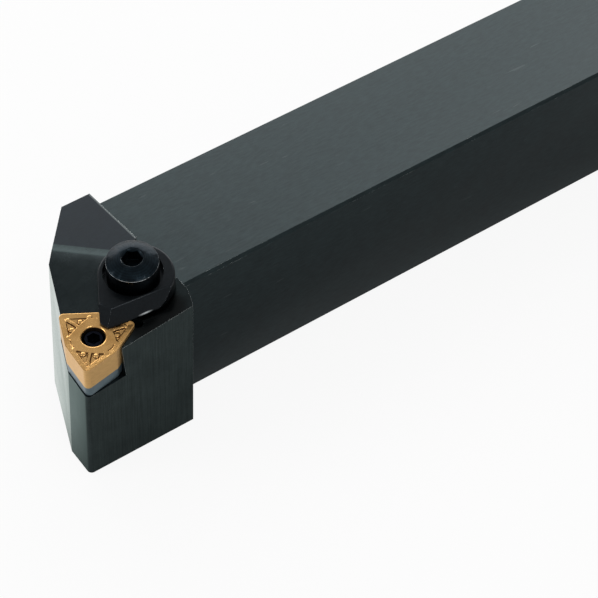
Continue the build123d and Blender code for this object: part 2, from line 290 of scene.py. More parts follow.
def rgba(colour):
    """A colour with its alpha, or a socket as it is."""
    return colour if isinstance(colour, Socket) else (*colour, 1.0)


def place_on(paint, to_axis):
    """Object coordinates in the frame of an axis, from the inverse of that frame."""
    move, turned = to_axis.to_translation(), to_axis.to_euler()
    made = paint.node("ShaderNodeMapping", {}, Vector=paint.place, Location=move, Rotation=turned)
    return made.out("Vector")


def spot_distance(paint, at, centre, half_size):
    """Distance from a spot's centre, in shares of its half sizes."""
    shares = Vector([1 / size for size in half_size])
    stretched = paint.stretch(shares, at)
    made = paint.node("ShaderNodeVectorMath", {"operation": "DISTANCE"}, stretched, centre * shares)
    return made.out("Value")


print("a colour as a socket takes it:", rgba((0.5, 0.5, 0.5)))

# %% [markdown]
# The floor stands for a sheet of white card that runs out of sight. It could be lit until it
# turns white, but that would wash out the tool. Instead, what the camera and the mirrored rays
# see is mostly plain white, and the rest is real card, which keeps a soft shadow. Mirrored rays
# see white only behind the tool, so the faces that look to the front stay dark.

# %% Floor finish
FLOOR_SHADOW_SHARE = 0.1
CARD = (0.85, 0.85, 0.85)
MIRRORED_CARD = (0.7, 0.7, 0.7)
BEHIND_TOOL = (-0.02, 0.0)

floor_paint = Paint("pale_floor")
rays = floor_paint.node("ShaderNodeLightPath", {})
camera_ray, mirrored_ray = rays.out("Is Camera Ray"), rays.out("Is Glossy Ray")
across = floor_paint.node("ShaderNodeSeparateXYZ", {}, Vector=floor_paint.place).out("Y")
white_share = camera_ray * (1 - FLOOR_SHADOW_SHARE) + mirrored_ray * across.ramp(*BEHIND_TOOL)
floor_paint.set(Base_Color=floor_paint.mix(mirrored_ray, CARD, MIRRORED_CARD), Roughness=0.9)
card = Socket(floor_paint, floor_paint.shader.outputs["BSDF"])
glow = floor_paint.node("ShaderNodeEmission", {}, Color=(1, 1, 1, 1), Strength=1.0).out("Emission")
surface = floor_paint.node("ShaderNodeMixShader", {}, white_share, card, glow).out("Shader")
floor_paint.feed(floor_paint.tree.nodes["Material Output"].inputs["Surface"], surface)
floor.data.materials.append(floor_paint.material)
print("floor finish:", len(floor_paint.tree.nodes), "nodes")

# %% [markdown]
# ## Blackened steel
# The holder is milled, blackened in a hot salt bath and oiled. The coat is nearly black with a
# cool cast. The oil is a clear layer, so faces seen at a slant mirror the card they stand on.
# The cutter's marks show through as grain, so each face gets the grain of its own cut. Painted
# maps would need an unwrapped mesh, and noise in Object coordinates needs none.

# %% Black coat on steel
BARE_STEEL = (0.62, 0.66, 0.65)
SCRATCH_TONE = (0.12, 0.135, 0.14)
SCRATCH_SHARE = 0.14
SCRATCH_STRETCH = (0.12, 1.0, 1.0)
COAT_METALLIC = 0.9
MOTTLE_WAVES = 240
SPECK_WAVES = 5200
MARK_WAVES = 2400


def blackened(name, dark, light, roughness, grain=(1, 1, 1), depth=0.003 * MM, oil=0.1):
    """Blackened steel: mottled tone, grain drawn out along an axis, fine scratches and oil."""
    paint = Paint(name)
    mottle = paint.noise(MOTTLE_WAVES, 4, 0.6)
    speck = paint.noise(SPECK_WAVES, 2, 0.6)
    marks = paint.noise(MARK_WAVES, 3, 0.6, paint.stretch(grain))
    tone = (mottle * 0.4 + speck * 0.3 + marks * 0.5).ramp(0.38, 0.84)
    scratch = paint.noise(1500, 1, 0.4, paint.stretch(SCRATCH_STRETCH)).ramp(0.72, 0.75)
    scuffed = scratch * paint.noise(150, 2).ramp(0.5, 0.65) * SCRATCH_SHARE
    paint.colour = paint.mix(scuffed, paint.mix(tone, dark, light), SCRATCH_TONE)
    paint.set(Base_Color=paint.colour, Metallic=COAT_METALLIC)
    paint.set(Roughness=mottle * 0.16 + speck * 0.08 - scuffed * 0.1 + (roughness - 0.12))
    paint.set(Coat_Weight=oil, Coat_Roughness=0.16)
    paint.bump(marks * 0.7 + speck * 0.3, depth)
    return paint


def worn(name, coat, bare_and_gleam, start, roughness=0.36):
    """A rounded edge, where the black has rubbed thin and bare steel shines through."""
    paint = Paint(name)
    patch = paint.noise(380, 3, 0.6) * 0.62 + paint.noise(2600, 2) * 0.38
    rub = patch.ramp(start, start + 0.22)
    paint.set(Base_Color=paint.mix(rub, coat, bare_and_gleam), Metallic=rub * 0.3 + 0.7)
    paint.set(Roughness=roughness - rub * 0.08)
    return paint


print("grain of", MARK_WAVES, "waves a metre: one mark every", round(1000 / MARK_WAVES, 2), "mm")

# %% [markdown]
# The holder wears six kinds of black. The land on its head is the darkest, and the relief under
# the cutting edge is ground, with the most oil on it. The grain runs along the shank and up the
# head's sides, as the cutter went.

# %% The holder's steels
COAT_DARK = (0.0130, 0.0205, 0.0225)
COAT_LIGHT = (0.0235, 0.037, 0.040)
LAND_DARK = (0.0025, 0.0055, 0.0084)
LAND_LIGHT = (0.0055, 0.0108, 0.0154)
LOW_DARK = (0.0130, 0.0195, 0.0212)
LOW_LIGHT = (0.0250, 0.0345, 0.0368)
SLOPE_DARK = (0.0115, 0.0195, 0.0205)
SLOPE_LIGHT = (0.0225, 0.036, 0.037)
SIDE_DARK = (0.0160, 0.0213, 0.0229)
SIDE_LIGHT = (0.041, 0.0535, 0.0545)
POLISHED_STEEL = (0.80, 0.84, 0.82)
SHANK_GRAIN = (0.22, 1.0, 1.0)
HEAD_GRAIN = (0.35, 1.6, 1.0)
UPRIGHT_GRAIN = (1.6, 1.6, 0.05)
SIDE_GLOSS = (0.80, 0.96, 0.92)
RELIEF_GLOSS = (0.78, 0.95, 0.87)

shank_steel = blackened("shank_steel", COAT_DARK, COAT_LIGHT, 0.44, SHANK_GRAIN)
land_steel = blackened("milled_land", LAND_DARK, LAND_LIGHT, 0.4, HEAD_GRAIN, 0.004 * MM)
low_steel = blackened("milled_low", LOW_DARK, LOW_LIGHT, 0.24, HEAD_GRAIN, 0.004 * MM)
slope_steel = blackened("milled_slope", SLOPE_DARK, SLOPE_LIGHT, 0.3, HEAD_GRAIN)
side_steel = blackened("milled_side", SIDE_DARK, SIDE_LIGHT, 0.36, UPRIGHT_GRAIN, 0.005 * MM)
relief_steel = blackened("ground_relief", COAT_DARK, COAT_LIGHT, 0.22, UPRIGHT_GRAIN, 0.002 * MM, 0.66)
edge_steel = worn("worn_edge", COAT_LIGHT, BARE_STEEL, 0.5)
bright_edge = worn("bright_edge", COAT_LIGHT, POLISHED_STEEL, 0.16, 0.34)
side_steel.set(Specular_Tint=SIDE_GLOSS)
relief_steel.set(Specular_Tint=RELIEF_GLOSS)
print("the shank's steel:", len(shank_steel.tree.nodes), "nodes")

# %% [markdown]
# Two marks are painted on the head. A painted shadow darkens its low plane in the corner between
# the clamp and the pocket, where the clamp casts its shade. And the sharp rim of its land is
# painted paler along the step, partly as rubbed wear and partly as a painted highlight. Both are
# distances made ragged by noise, which is quicker to place than a painted mask and stays sharp from near.

# %% Painted shadow and rubbed rim with painted highlight
PAINTED_SHADOW_TONE = (0.002, 0.0025, 0.0025)
PAINTED_SHADOW_SHARE = 0.85
SHADOW_CENTRE = Vector((-59.2, -16.6, 0)) * MM
SHADOW_HALF_SIZE = Vector((6.0, 3.8, math.inf)) * MM
STEP_X = -52 * MM
RIM_WIDTH = 0.36 * MM
RIM_CORE = 0.2 * MM
RIM_WEAR_AND_HIGHLIGHT_TONE = (0.10, 0.115, 0.115)

# Painted shadow: the clamp's cast shadow is painted dark on the low plane, ragged at its edge.
from_shadow = spot_distance(low_steel, low_steel.place, SHADOW_CENTRE, SHADOW_HALF_SIZE)
painted_shadow = 1 - (from_shadow + low_steel.noise(500, 3) * 0.3).ramp(0.9, 1.35)
low_steel.set(Base_Color=low_steel.mix(painted_shadow * PAINTED_SHADOW_SHARE, low_steel.colour, PAINTED_SHADOW_TONE))
# The rim's strip is painted paler, partly as rubbed wear and partly as a painted highlight along the step.
along = land_steel.node("ShaderNodeSeparateXYZ", {}, Vector=land_steel.place).out("X")
rubbed_and_highlighted = along.ramp(STEP_X - RIM_WIDTH, STEP_X - RIM_CORE) * (land_steel.noise(900, 2) * 0.5 + 0.55)
land_steel.set(Base_Color=land_steel.mix(rubbed_and_highlighted, land_steel.colour, RIM_WEAR_AND_HIGHLIGHT_TONE))
print("rubbed rim:", round((RIM_WIDTH - RIM_CORE) / MM, 2), "mm of fading black")

# %% [markdown]
# ## Rounded copies of the machined pieces
# A machined edge is never perfectly sharp, and the thin line of light along it is what makes
# metal look solid. The packed mesh is never changed, so each piece is copied. The copy is loose
# triangles, so it is welded first and its flat faces are merged, which leaves real edges only.

# %% Copy and weld
WELD = 0.002 * MM
SAME_PLANE = 0.5


def alone(obj):
    """Makes one object the only one selected, and active."""
    bpy.ops.object.select_all(action="DESELECT")
    obj.select_set(True)
    bpy.context.view_layer.objects.active = obj


def welded_copy(node, name):
    """A copy of a packed piece with its loose triangles joined and its flat faces merged."""
    piece = bpy.data.objects.new(name, nodes[node].data.copy())
    bpy.context.scene.collection.objects.link(piece)
    alone(piece)
    bpy.ops.object.mode_set(mode="EDIT")
    bpy.ops.mesh.select_all(action="SELECT")
    bpy.ops.mesh.remove_doubles(threshold=WELD)
    bpy.ops.mesh.dissolve_limited(angle_limit=math.radians(SAME_PLANE))
    bpy.ops.object.mode_set(mode="OBJECT")
    bpy.ops.object.shade_flat()
    return piece


print("weld distance:", WELD / MM, "mm")

# %% [markdown]
# One piece can wear several finishes, as a milled bar does where each face was cut another way.
# Faces could be picked by hand, but they would have to be picked again after every new pack.
# Here a small test on a face's centre and normal chooses them.

# %% Finishes by face


def finish_with(piece, *paints):
    """Gives a piece its materials. Its faces all wear the first, until others are chosen."""
    piece.data.materials.clear()
    for paint in paints:
        piece.data.materials.append(paint.material)
    print(piece.name, "gets", ", ".join(paint.material.name for paint in paints))


def number_of(piece, paint):
    """The number by which a piece's faces call a material."""
    return piece.data.materials.find(paint.material.name)


def cover(piece, paint, test, among=None):
    """Gives a material to the faces that pass a test, out of all or of those that wear another."""
    number = number_of(piece, paint)
    wanted = None if among is None else number_of(piece, among)
    chosen = [face for face in piece.data.polygons if wanted in (None, face.material_index)]
    chosen = [face for face in chosen if test(face.center, face.normal)]
    for face in chosen:
        face.material_index = number
    print(piece.name, "wears", paint.material.name, "on", len(chosen), "faces")


print("finish helpers:", ", ".join(helper.__name__ for helper in (finish_with, number_of, cover)))

# %% [markdown]
# The Bevel modifier then rounds every sharp edge by about a tenth of a millimetre, which would
# take hours by hand. The bevel's own faces take the worn finish, and its hardened normals keep
# the wide faces flat. Where bevels meet, slivers can be left, and they are merged away.

# %% Rounded edges
SLIVER = 0.0005 * MM
EDGE_SEGMENTS = 2
SHARP = 28


def round_edges(piece, width, edge_paint, angle=SHARP):
    """Bevels every edge sharper than an angle, and finishes the bevels as worn edges."""
    bevel = piece.modifiers.new("rounded", "BEVEL")
    bevel.width = width
    bevel.segments = EDGE_SEGMENTS
    bevel.limit_method = "ANGLE"
    bevel.angle_limit = math.radians(angle)
    bevel.material = number_of(piece, edge_paint)
    bevel.miter_outer = "MITER_ARC"
    bevel.harden_normals = True
    alone(piece)
    bpy.ops.object.shade_smooth_by_angle(angle=math.radians(angle))
    bpy.ops.object.modifier_apply(modifier="rounded")
    bpy.ops.object.mode_set(mode="EDIT")
    bpy.ops.mesh.select_all(action="SELECT")
    bpy.ops.mesh.remove_doubles(threshold=SLIVER)
    bpy.ops.object.mode_set(mode="OBJECT")
    print(piece.name, len(piece.data.polygons), "faces")


def stand_for(piece, node, body):
    """The piece takes the place of a packed node and moves with its body."""
    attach(piece, body)
    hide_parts(node)


print("an edge is rounded in", EDGE_SEGMENTS, "steps")

# %% [markdown]
# ## The holder
# The holder is one bar of steel, and its faces differ only in how they were cut. They are told
# apart by their place and by the way they look. On the head, the level face is the land, faces
# that lean a little are the slope, those that lean more are the low plane, and upright ones are
# sides. The rest is the shank. The head's outer edges are handled most, so they are polished
# brighter than the shank's.

# %% Holder
UPRIGHT = 0.1
NEARLY_LEVEL = 0.99
LEVEL = 0.99999
STEP_MARGIN = 1.0 * MM
STEP_EDGE = 0.2 * MM
HOLDER_ROUNDING = 0.15 * MM
CORNER_PLACE = Vector((6.9, -1.85, 0)) * MM
CORNER_RADIUS = 1.7 * MM
FLOOR_MARGIN = 0.3 * MM


def on_head(at):
    """True for what lies on the head's side of the step."""
    return at.x < STEP_X


def is_relief(at, normal):
    """True for the upright faces that look to the head's end and away from the cutting side."""
    return normal.x < -0.5 and normal.y > 0.3 and abs(normal.z) < UPRIGHT


holder = welded_copy("holder_body", "holder")
holder_steels = (shank_steel, low_steel, side_steel, relief_steel, edge_steel, bright_edge)
finish_with(holder, *holder_steels, land_steel, slope_steel)
cover(holder, low_steel, lambda at, normal: on_head(at) and normal.z > 1 - UPRIGHT)
cover(holder, side_steel, lambda at, normal: at.x < STEP_X + STEP_MARGIN and abs(normal.z) < UPRIGHT)
cover(holder, relief_steel, is_relief)
cover(holder, land_steel, lambda at, normal: on_head(at) and normal.z > LEVEL)
cover(holder, slope_steel, lambda at, normal: on_head(at) and NEARLY_LEVEL < normal.z <= LEVEL)
round_edges(holder, HOLDER_ROUNDING, edge_steel)
pocket_floor = min(vertex.co.dot(seat_normal) for vertex in nodes["shim"].data.vertices)
pocket_corner = insert_frame @ CORNER_PLACE


def catches_light(at, normal):
    """True for the head's outer edges, away from the pocket's floor and its drilled corner."""
    on_floor = abs(at.dot(seat_normal) - pocket_floor) < FLOOR_MARGIN
    at_corner = (at - pocket_corner).cross(seat_normal).length < CORNER_RADIUS
    return at.x < STEP_X + STEP_EDGE and not on_floor and not at_corner


cover(holder, bright_edge, catches_light, edge_steel)
stand_for(holder, "holder_body", "holder")

# %% [markdown]
# ## The clamp
# The finger clamp is forged, so its faces are smoother than the milled holder. It is blacker,
# and its edges are worn. Its ridges are blunter, so its bevel starts at a lower angle. A painted
# highlight, a small pale patch, stands low on the flank that looks to the front. The patch is placed
# in the clamp screw's frame, because the clamp leans with it.

# %% Clamp
CLAMP_DARK = (0.006, 0.0085, 0.0105)
CLAMP_LIGHT = (0.011, 0.0145, 0.018)
CLAMP_EDGE = (0.04, 0.05, 0.056)
CLAMP_BARE = (0.62, 0.67, 0.69)
GLEAM_CENTRE = Vector((-2.35, -6.42, 0.92)) * MM
GLEAM_HALF_SIZE = Vector((1.9, 0.5, 0.24)) * MM
PAINTED_GLEAM_TONE = (0.62, 0.66, 0.67)
CLAMP_ROUNDING = 0.2 * MM
CLAMP_SHARP = 21

clamp_steel = blackened("clamp_steel", CLAMP_DARK, CLAMP_LIGHT, 0.36, depth=0.004 * MM, oil=0.15)
# Painted highlight: a pale, less metallic patch low on the front flank.
from_gleam = spot_distance(clamp_steel, place_on(clamp_steel, to_screw), GLEAM_CENTRE, GLEAM_HALF_SIZE)
bare_and_gleam = 1 - (from_gleam + clamp_steel.noise(1500, 2) * 0.3).ramp(0.25, 1.1)
clamp_steel.set(Base_Color=clamp_steel.mix(bare_and_gleam, clamp_steel.colour, PAINTED_GLEAM_TONE))
clamp_steel.set(Metallic=COAT_METALLIC - bare_and_gleam * 0.6)
clamp_edge = worn("clamp_edge", CLAMP_EDGE, CLAMP_BARE, 0.26, 0.34)
clamp = welded_copy("clamp", "finger_clamp")
finish_with(clamp, clamp_steel, clamp_edge)
round_edges(clamp, CLAMP_ROUNDING, clamp_edge, CLAMP_SHARP)
stand_for(clamp, "clamp", "clamp")

# %% [markdown]
# ## Threads
# The clamp screw and the seat pin are threaded, and the packed shapes only carry plain shanks.
# A thread could be swept along a helix, but its ends are awkward to close. Here a cylinder is
# divided into fine rings and each point is moved in by the thread's own profile, which runs
# down the cylinder as it goes round. It stays one closed shell, and it fades out at both ends.

# %% Thread helper
THREAD_SIDES = 40
RINGS_PER_TURN = 8
THREAD_DEPTH_SHARE = 0.55
GROOVE_SLOPE = 2.5
THREAD_SMOOTH = 50


def thread_depth(height, around, length, pitch):
    """How deep a thread is cut at a height, at an angle in radians round the axis."""
    turn = (height / pitch - around / math.tau) % 1
    groove = max(0.0, 1 - abs(turn - 0.5) * GROOVE_SLOPE)
    fade = min(1.0, max(0.0, height / pitch), max(0.0, (length - height) / pitch))
    return groove * fade * pitch * THREAD_DEPTH_SHARE


def ringed_cylinder(name, radius, length, rings):
    """A closed cylinder about the origin, divided into rings along its length."""
    bpy.ops.object.select_all(action="DESELECT")
    bpy.ops.mesh.primitive_cylinder_add(vertices=THREAD_SIDES, radius=radius, depth=length)
    shank = bpy.context.object
    shank.name = name
    bpy.ops.object.mode_set(mode="EDIT")
    bpy.ops.mesh.select_mode(type="EDGE")
    bpy.ops.mesh.select_all(action="DESELECT")
    bpy.ops.object.mode_set(mode="OBJECT")
    points = shank.data.vertices
    for edge in shank.data.edges:
        low, high = (points[i].co for i in edge.vertices)
        edge.select = abs(low.z - high.z) > length / 2
    bpy.ops.object.mode_set(mode="EDIT")
    bpy.ops.mesh.subdivide_edgering(number_cuts=rings, interpolation="LINEAR")
    bpy.ops.object.mode_set(mode="OBJECT")
    return shank


def threaded_shank(name, axis_frame, radius, bottom, top, pitch, tip):
    """A closed cylinder between two heights, with a thread and a tapered tip."""
    length = top - bottom
    shank = ringed_cylinder(name, radius, length, round(length / pitch * RINGS_PER_TURN))
    mesh = shank.data
    for vertex in mesh.vertices:
        height = vertex.co.z + length / 2
        depth = thread_depth(height, math.atan2(vertex.co.y, vertex.co.x), length, pitch)
        share = (radius - max(depth, tip - height)) / radius
        vertex.co.x *= share
        vertex.co.y *= share
        vertex.co.z += (bottom + top) / 2
    mesh.transform(axis_frame)
    alone(shank)
    bpy.ops.object.shade_smooth_by_angle(angle=math.radians(THREAD_SMOOTH))
    print(name, len(mesh.polygons), "faces")
    return shank


print("points in one turn of a thread:", THREAD_SIDES * RINGS_PER_TURN)

# %% [markdown]
# A thread needs a place to go. The packed piece is cut square to its axis below its head or
# collar, its plain shank is thrown away, and the threaded one is joined on in its stead. The two
# shells overlap by a hair inside the piece, so no gap shows.

# %% Cut and join
OVERLAP = 0.1 * MM


def merge_into(piece, other):
    """Joins another object into a piece, which keeps its own name and material order."""
    bpy.ops.object.select_all(action="DESELECT")
    other.select_set(True)
    piece.select_set(True)
    bpy.context.view_layer.objects.active = piece
    bpy.ops.object.join()


def drop_below(piece, height, axis_frame):
    """Cuts a piece square to its axis, removes what lies below and closes it."""
    alone(piece)
    bpy.ops.object.mode_set(mode="EDIT")
    bpy.ops.mesh.select_all(action="SELECT")
    plane = axis_frame @ Vector((0, 0, height))
    bpy.ops.mesh.bisect(plane_co=plane, plane_no=seat_normal, use_fill=True, clear_inner=True)
    bpy.ops.object.mode_set(mode="OBJECT")
    print(piece.name, "cut at", round(height / MM, 2), "mm")


print("overlap of head and shank:", OVERLAP / MM, "mm")

# %% [markdown]
# The screw's head and the pin are turned, so they carry fine rings round their own axes. A
# material can draw them from the distance to that axis, once a Mapping node has stood the axis
# upright. A painted image would need an unwrapped mesh to do the same.

# %% Turned steel
TURNED_METALLIC = 0.95
COARSE_RINGS = 1.7


def turned_steel(name, dark, light, to_axis, roughness, ring_width):
    """Blackened steel with a lathe's fine rings round an axis."""
    paint = Paint(name)
    flat = paint.stretch((1, 1, 0), place_on(paint, to_axis))
    radius = paint.node("ShaderNodeVectorMath", {"operation": "LENGTH"}, flat).out("Value")
    away = radius * (1 / ring_width)
    wander = paint.noise(1500, 2)
    fine = (away * math.tau + wander * 1.5).sine()
    coarse = (away * COARSE_RINGS).sine()
    lines = fine * 0.5 + coarse * 0.5
    tone = (lines * 0.22 + paint.noise(700, 3, 0.6)).ramp(0.25, 0.85)
    paint.set(Base_Color=paint.mix(tone, dark, light), Metallic=TURNED_METALLIC)
    paint.set(Roughness=tone * 0.1 + (roughness - 0.05), Coat_Weight=0.08, Coat_Roughness=0.14)
    paint.bump(lines * 0.5 + wander * 0.5, 0.003 * MM)
    return paint


SCREW_DARK = (0.0025, 0.0056, 0.0084)
SCREW_LIGHT = (0.0062, 0.0135, 0.0195)
screw_steel = turned_steel("screw_steel", SCREW_DARK, SCREW_LIGHT, to_screw, 0.36, 0.11 * MM)
print("the screw's steel:", len(screw_steel.tree.nodes), "nodes")

# %% [markdown]
# The clamp screw is a round headed screw with a hexagon socket. Its rim is rubbed bright by the
# hands that turn it, and the socket's rim a little less, by the key.

# %% Clamp screw
SCREW_HEAD_FOOT = 1.44 * MM
SCREW_FOOT = -16.06 * MM
SCREW_RADIUS = 2.45 * MM
SCREW_PITCH = 0.8 * MM
SCREW_TAPER = 0.6 * MM
SCREW_ROUNDING = 0.1 * MM
SOCKET_REACH = 3 * MM
SCREW_RIM = (0.60, 0.64, 0.66)
SOCKET_RIM = (0.40, 0.43, 0.45)

screw = welded_copy("clamp_screw", "socket_screw")
drop_below(screw, SCREW_HEAD_FOOT, screw_frame)
screw_edge = worn("screw_edge", SCREW_LIGHT, SCREW_RIM, 0.36, 0.28)
socket_edge = worn("socket_edge", SCREW_LIGHT, SOCKET_RIM, 0.58, 0.28)
finish_with(screw, screw_steel, screw_edge, socket_edge)
round_edges(screw, SCREW_ROUNDING, screw_edge)
cover(screw, socket_edge, lambda at, normal: (to_screw @ at).xy.length < SOCKET_REACH, screw_edge)
screw_top = SCREW_HEAD_FOOT + OVERLAP
screw_shank = threaded_shank(
    "screw_thread", screw_frame, SCREW_RADIUS, SCREW_FOOT, screw_top, SCREW_PITCH, SCREW_TAPER
)
finish_with(screw_shank, screw_steel)
merge_into(screw, screw_shank)
stand_for(screw, "clamp_screw", "clamp_screw")

# %% [markdown]
# ## The seat plate
# The seat plate is ground carbide, a blue grey metal with straight grinding lines. Its edges are
# only touched on a stone, so they are the sharpest of all and a shade paler.

# %% Seat plate
CARBIDE_DARK = (0.10, 0.145, 0.17)
CARBIDE_LIGHT = (0.15, 0.205, 0.23)
CARBIDE_EDGE_DARK = (0.1, 0.13, 0.16)
CARBIDE_EDGE_LIGHT = (0.26, 0.3, 0.33)
GRINDING_GRAIN = (1.0, 1.0, 9.0)
SHIM_ROUNDING = 0.06 * MM

shim_carbide = Paint("shim_carbide")
grinding = shim_carbide.noise(2200, 3, 0.6, shim_carbide.stretch(GRINDING_GRAIN))
cloud = shim_carbide.noise(420, 3).ramp(0.3, 0.7)
shim_carbide.set(Base_Color=shim_carbide.mix(cloud, CARBIDE_DARK, CARBIDE_LIGHT))
shim_carbide.set(Metallic=0.7, Roughness=grinding * 0.14 + 0.3)
shim_carbide.bump(grinding, 0.003 * MM)
shim_edge = Paint("shim_edge")
shim_edge.set(Base_Color=shim_edge.mix(shim_edge.noise(900, 2), CARBIDE_EDGE_DARK, CARBIDE_EDGE_LIGHT))
shim_edge.set(Metallic=0.9, Roughness=0.3)
shim = welded_copy("shim", "seat_plate")
finish_with(shim, shim_carbide, shim_edge)
round_edges(shim, SHIM_ROUNDING, shim_edge)
stand_for(shim, "shim", "holder")

# %% [markdown]
# ## The seat pin
# A small blued screw holds the seat plate and stands in the insert's hole, where its socket
# shows. It is made as the clamp screw was: the packed collar and top, and a thread below.

# %% Seat pin
PIN_RADIUS = 1.95 * MM
PIN_PITCH = 0.7 * MM
PIN_COLLAR_FOOT = -6.36 * MM
PIN_FOOT = -15.1 * MM
PIN_TAPER = 0.35 * MM
PIN_ROUNDING = 0.07 * MM
PIN_DARK = (0.002, 0.003, 0.008)
PIN_LIGHT = (0.006, 0.008, 0.018)
PIN_EDGE_DARK = (0.008, 0.010, 0.02)
PIN_EDGE_LIGHT = (0.07, 0.08, 0.11)

pin_steel = turned_steel("pin_steel", PIN_DARK, PIN_LIGHT, to_insert, 0.34, 0.12 * MM)
pin_edge = worn("pin_edge", PIN_EDGE_DARK, PIN_EDGE_LIGHT, 0.5, 0.3)
pin = welded_copy("shim_pin", "seat_pin")
drop_below(pin, PIN_COLLAR_FOOT, insert_frame)
finish_with(pin, pin_steel, pin_edge)
round_edges(pin, PIN_ROUNDING, pin_edge)
pin_top = PIN_COLLAR_FOOT + OVERLAP
pin_shank = threaded_shank("pin_thread", insert_frame, PIN_RADIUS, PIN_FOOT, pin_top, PIN_PITCH, PIN_TAPER)
finish_with(pin_shank, pin_steel)
merge_into(pin, pin_shank)
stand_for(pin, "shim_pin", "holder")

# %% [markdown]
# ## The insert
# The insert is pressed from powder, sintered and coated, so its chip former has soft, rounded
# forms. Cutting such a shape with booleans leaves it stiff. Instead the rake face is a fine
# sheet between the outline and the hole, and a height is worked out for every point of it. Half
# the insert is made, then mirrored about its middle. Its own sizes are in millimetres, and it
# is scaled to metres when it is put in its place.

# %% The insert's outline
INSCRIBED = 9.525 / 2
ACUTE_HALF = 40
OBTUSE_HALF = 80
ACUTE_REACH = INSCRIBED / math.sin(math.radians(ACUTE_HALF))
OBTUSE_REACH = INSCRIBED / math.sin(math.radians(OBTUSE_HALF))
ACUTE_ANGLES = (225, 345, 105)
ACUTE_TO_OBTUSE = 60
NOSE_RADIUS = 0.8
OBTUSE_RADIUS = 0.4
HOLE_RADIUS = 3.81 / 2
HALF_THICKNESS = 4.76 / 2
ARC_STEPS = 24
OUTLINE_POINTS = 324


def spoke(reach, angle):
    """A point at a reach and an angle from the insert's centre."""
    return Vector((reach * math.cos(math.radians(angle)), reach * math.sin(math.radians(angle))))


def corner_arc(reach, angle, half, radius):
    """The points of a rounded corner with the given half angle."""
    centre = spoke(reach - radius / math.sin(math.radians(half)), angle)
    swing = 90 - half
    return [centre + spoke(radius, angle - swing + 2 * swing * i / ARC_STEPS) for i in range(ARC_STEPS + 1)]


def walk(points, count):
    """Points at even steps along a closed line."""
    closed = [*points, points[0]]
    lengths = [(b - a).length for a, b in zip(closed, closed[1:])]
    step = sum(lengths) / count
    made, start, number = [], 0.0, 0
    for i in range(count):
        while start + lengths[number] < i * step:
            start += lengths[number]
            number += 1
        share = (i * step - start) / lengths[number]
        made.append(closed[number].lerp(closed[number + 1], share))
    return made


corners = []
for angle in ACUTE_ANGLES:
    corners += corner_arc(ACUTE_REACH, angle, ACUTE_HALF, NOSE_RADIUS)
    corners += corner_arc(OBTUSE_REACH, angle + ACUTE_TO_OBTUSE, OBTUSE_HALF, OBTUSE_RADIUS)
outline = walk(corners, OUTLINE_POINTS)
print("outline:", round(sum((b - a).length for a, b in zip(outline, outline[1:])), 2), "mm round")

# %% [markdown]
# The chip former curls the chip until it breaks. From the cutting edge inwards it has a narrow
# land, a band that slopes down, a steep drop into a groove, and a raised island. The island is
# the outline drawn in and cut off square towards each corner. A lobe stands at each end of the
# cut, a finger points at the corner, and a small dome stands on each side of the finger. All of
# it comes from smooth steps of two distances: how far a point lies in from the cutting edge, and
# how far it lies inside the island.

# %% Distances on the rake face
ISLAND_MARGIN = 1.0
WALL_REACH = 3.35
WALL_BOW = 0.035
LOBE_ALONG, LOBE_ASIDE, LOBE_RADIUS = 2.9, 2.55, 0.42
DOME_ALONG, DOME_ASIDE, DOME_RADIUS = 3.62, 1.05, 0.55
FINGER_REACH = 5.35
FINGER_HALF = 0.3
FINGER_TIP = 0.4
FAR = 1e9


def rise(value, low, high):
    """A smooth step from 0 to 1 between two values."""
    t = min(1.0, max(0.0, (value - low) / (high - low)))
    return t * t * (3 - 2 * t)


def along_and_aside(x, y, angle):
    """A point's distance from the centre towards a corner, and its distance to the side."""
    cosine, sine = math.cos(math.radians(angle)), math.sin(math.radians(angle))
    return x * cosine + y * sine, abs(y * cosine - x * sine)


def inside_edge(x, y):
    """How far a point lies in from the cutting edge, round the noses too."""
    nearest = FAR
    for angle in ACUTE_ANGLES:
        nose = spoke(ACUTE_REACH - NOSE_RADIUS / math.sin(math.radians(ACUTE_HALF)), angle)
        sides = [spoke(1, angle - 90 + ACUTE_HALF), spoke(1, angle + 90 - ACUTE_HALF)]
        reach = [(x - nose.x) * side.x + (y - nose.y) * side.y for side in sides]
        nearest = min(nearest, *(NOSE_RADIUS - value for value in reach))
        if min(reach) > 0:
            return NOSE_RADIUS - math.hypot(x - nose.x, y - nose.y)
    return nearest


def inside_island(x, y, margin):
    """How far a point lies inside the island; margin is its distance from the cutting edge."""
    body = margin - ISLAND_MARGIN
    extra = -FAR
    for angle in ACUTE_ANGLES:
        along, aside = along_and_aside(x, y, angle)
        if along > 0:
            body = min(body, WALL_REACH - WALL_BOW * aside * aside - along)
            lobe = LOBE_RADIUS - math.hypot(along - LOBE_ALONG, aside - LOBE_ASIDE)
            tip = FINGER_TIP - math.hypot(along - FINGER_REACH, aside)
            finger = FINGER_HALF - math.hypot(max(0.0, along - FINGER_REACH), aside)
            extra = max(extra, lobe, tip, finger)
    return max(body, extra)


def dome_height(x, y):
    """Height share of the small domes that stand on both sides of each finger's root."""
    share = 0.0
    for angle in ACUTE_ANGLES:
        along, aside = along_and_aside(x, y, angle)
        away = math.hypot(along - DOME_ALONG, aside - DOME_ASIDE) / DOME_RADIUS
        share = max(share, math.sqrt(max(0.0, 1 - away * away)))
    return share


print("centre to cutting edge:", round(inside_edge(0, 0), 3), "mm")

# %% [markdown]
# The steps are then added up. The band and the groove go down, and the island and the domes bring
# the face back up. The hole gets a rounded rim, and the cutting edge is honed by a few
# hundredths of a millimetre.

# %% Chip former heights
EDGE_LAND = 0.06
BAND_WIDTH = 0.92
BAND_DROP = 0.11
GROOVE_DEPTH = 0.32
GROOVE_WALL = (BAND_WIDTH - 0.04, BAND_WIDTH + 0.16)
ISLAND_WALL = (-0.1, 0.12)
RIM_RADIUS = 0.4
HONE_DEPTH = 0.04
HONE_WIDTH = 0.09


